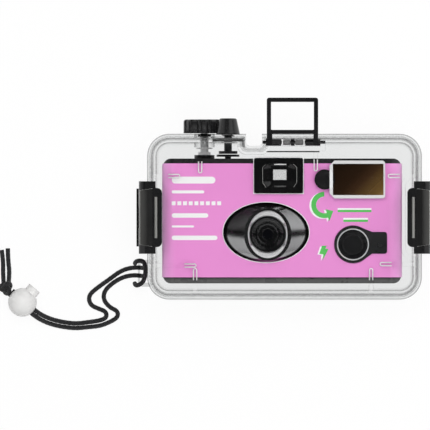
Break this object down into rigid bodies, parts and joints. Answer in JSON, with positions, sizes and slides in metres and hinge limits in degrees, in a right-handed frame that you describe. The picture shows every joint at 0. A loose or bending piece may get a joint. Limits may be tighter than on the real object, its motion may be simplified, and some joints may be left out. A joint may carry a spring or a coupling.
{
  "type": "disposable film camera",
  "caption": "Simple-use film camera with a pink wrap, closed in a clear waterproof case with side latches, winder, shutter button, folding finder and wrist strap.",
  "frame": {"origin": "centre of the case's back face, which it lies on", "axes": "+X to the right seen from the front, +Y up the case, +Z out of the lens"},
  "size_m": [0.2142, 0.1145, 0.048],
  "materials": {
    "clear_case": "clear polycarbonate",
    "black_plastic": "satin black moulding",
    "black_gloss": "glossy black",
    "black_rubber": "smooth",
    "steel": "bright",
    "dark_chrome": "dark bright",
    "chrome": "bright",
    "cord": "braided",
    "white_plastic": "smooth",
    "pink_label": "printed card",
    "clear_lens": "polished",
    "gel_yellow": "clear film",
    "gel_magenta": "clear film",
    "gel_cyan": "clear film",
    "film": "film base",
    "can": "painted",
    "battery": "painted",
    "board": "circuit board"
  },
  "bodies": {
    "root": {"case_rear_shell": "clear_case", "case_front_shell": "clear_case", "case_gasket": "black_rubber", "winder_oring": "black_rubber", "shutter_plunger_seal": "black_rubber", "finder_hinge_pin": "black_plastic", "latch_pivot_pins": "steel", "strap_hitch": "cord", "strap_strand_a": "cord", "strap_strand_b": "cord", "strap_knot": "cord", "cord_lock_ball": "white_plastic", "cord_lock_spring": "steel", "shutter_plunger_spring": "steel", "camera_front_cover": "black_plastic", "camera_back_cover": "black_plastic", "camera_wrap_label": "pink_label", "camera_chassis": "black_plastic", "lens_surround": "dark_chrome", "lens_ring": "chrome", "lens_barrel": "black_gloss", "lens_element": "clear_lens", "viewfinder_bezel": "black_gloss", "viewfinder_front_lens": "clear_lens", "viewfinder_rear_lens": "clear_lens", "flash_window": "clear_lens", "flash_reflector": "chrome", "flash_tube": "clear_lens", "gel_pivot": "black_plastic", "flash_button_bezel": "black_plastic", "film_cartridge": "can", "film_strip": "film", "battery": "battery", "flash_capacitor": "black_gloss", "circuit_board": "board"},
    "winder": {"winder_knob": "black_plastic", "winder_shaft": "steel", "winder_clip": "steel"},
    "advance": {"advance_wheel": "black_plastic", "cartridge_spool": "film"},
    "supply": {"film_supply_roll": "film"},
    "counter": {"frame_counter_disc": "white_plastic"},
    "shutter_plunger": {"shutter_plunger_cap": "black_plastic", "shutter_plunger_rod": "black_plastic", "shutter_plunger_clip": "steel"},
    "release": {"release_button": "black_plastic"},
    "finder": {"finder_frame": "black_plastic"},
    "latch_lever_right": {"latch_lever_right": "black_plastic"},
    "latch_hook_right": {"latch_hook_right": "black_plastic", "latch_roller_right": "steel"},
    "latch_lever_left": {"latch_lever_left": "black_plastic"},
    "latch_hook_left": {"latch_hook_left": "black_plastic", "latch_roller_left": "steel"},
    "gel_yellow": {"gel_yellow": "gel_yellow", "gel_frame": "clear_lens"},
    "gel_magenta": {"gel_magenta": "gel_magenta"},
    "gel_cyan": {"gel_cyan": "gel_cyan"},
    "flash_button": {"flash_button": "black_plastic"},
    "shutter_blade": {"shutter_blade": "steel"},
    "cord_lock_plunger": {"cord_lock_plunger": "white_plastic"}
  },
  "joints": [
    {"name": "winder_spin", "type": "hinge", "parent": "root", "child": "winder", "pos_m": [-0.0394, 0.044, 0.018], "axis": [0, 1, 0], "continuous": true},
    {"name": "advance_spin", "type": "hinge", "parent": "root", "child": "advance", "pos_m": [-0.0394, 0.025, 0.018], "axis": [0, 1, 0], "continuous": true},
    {"name": "supply_spin", "type": "hinge", "parent": "root", "child": "supply", "pos_m": [0.0228, -0.008, 0.018], "axis": [0, 1, 0], "continuous": true},
    {"name": "counter_spin", "type": "hinge", "parent": "root", "child": "counter", "pos_m": [-0.012, 0.026, 0.016], "axis": [0, 1, 0], "continuous": true},
    {"name": "shutter_press", "type": "slide", "parent": "root", "child": "shutter_plunger", "axis": [0, -1, 0], "range_m": [0, 0.0008], "stiffness_N_per_m": 400, "springref_m": -0.003, "deforming": ["shutter_plunger_spring"]},
    {"name": "release_press", "type": "slide", "parent": "root", "child": "release", "axis": [0, -1, 0], "range_m": [0, 0.0008]},
    {"name": "finder_fold", "type": "hinge", "parent": "root", "child": "finder", "pos_m": [0.00395, 0.0366, 0.041], "axis": [-1, 0, 0], "range_deg": [0, 90]},
    {"name": "latch_right_open", "type": "hinge", "parent": "root", "child": "latch_lever_right", "pos_m": [0.0693, -0.001, 0.0165], "axis": [0, -1, 0], "range_deg": [0, 140]},
    {"name": "latch_right_hook", "type": "hinge", "parent": "latch_lever_right", "child": "latch_hook_right", "pos_m": [0.0691, -0.001, 0.013], "axis": [0, -1, 0], "range_deg": [-175, 0]},
    {"name": "latch_left_open", "type": "hinge", "parent": "root", "child": "latch_lever_left", "pos_m": [-0.0693, -0.001, 0.0165], "axis": [0, 1, 0], "range_deg": [0, 140]},
    {"name": "latch_left_hook", "type": "hinge", "parent": "latch_lever_left", "child": "latch_hook_left", "pos_m": [-0.0691, -0.001, 0.013], "axis": [0, 1, 0], "range_deg": [-175, 0]},
    {"name": "gel_yellow_swing", "type": "hinge", "parent": "root", "child": "gel_yellow", "pos_m": [0.0197, 0.0183, 0.0366], "axis": [0, 0, -1], "range_deg": [0, 80]},
    {"name": "gel_magenta_swing", "type": "hinge", "parent": "root", "child": "gel_magenta", "pos_m": [0.0197, 0.0183, 0.0359], "axis": [0, 0, -1], "range_deg": [0, 80]},
    {"name": "gel_cyan_swing", "type": "hinge", "parent": "root", "child": "gel_cyan", "pos_m": [0.0197, 0.0183, 0.0352], "axis": [0, 0, -1], "range_deg": [0, 80]},
    {"name": "flash_button_press", "type": "slide", "parent": "root", "child": "flash_button", "axis": [0, 0, -1], "range_m": [0, 0.0008], "stiffness_N_per_m": 400, "springref_m": -0.002},
    {"name": "shutter_blade_swing", "type": "hinge", "parent": "root", "child": "shutter_blade", "pos_m": [-0.0003, -0.00865, 0.0301], "axis": [0, 0, 1], "range_deg": [0, 35], "stiffness_Nm_per_rad": 0.0002, "springref_deg": -28.65},
    {"name": "cord_lock_press", "type": "slide", "parent": "root", "child": "cord_lock_plunger", "axis": [-0.6547, -0.7559, 0], "range_m": [0, 0.0015], "stiffness_N_per_m": 400, "springref_m": -0.003, "deforming": ["cord_lock_spring"]}
  ],
  "couplings": [
    {"joint": "advance_spin", "follows": "winder_spin", "ratio": 1},
    {"joint": "supply_spin", "follows": "winder_spin", "ratio": 0.8},
    {"joint": "counter_spin", "follows": "winder_spin", "ratio": -0.025},
    {"joint": "release_press", "follows": "shutter_press", "ratio": 1},
    {"joint": "latch_right_hook", "follows": "latch_right_open", "ratio": -1.25},
    {"joint": "latch_left_hook", "follows": "latch_left_open", "ratio": -1.25}
  ]
}
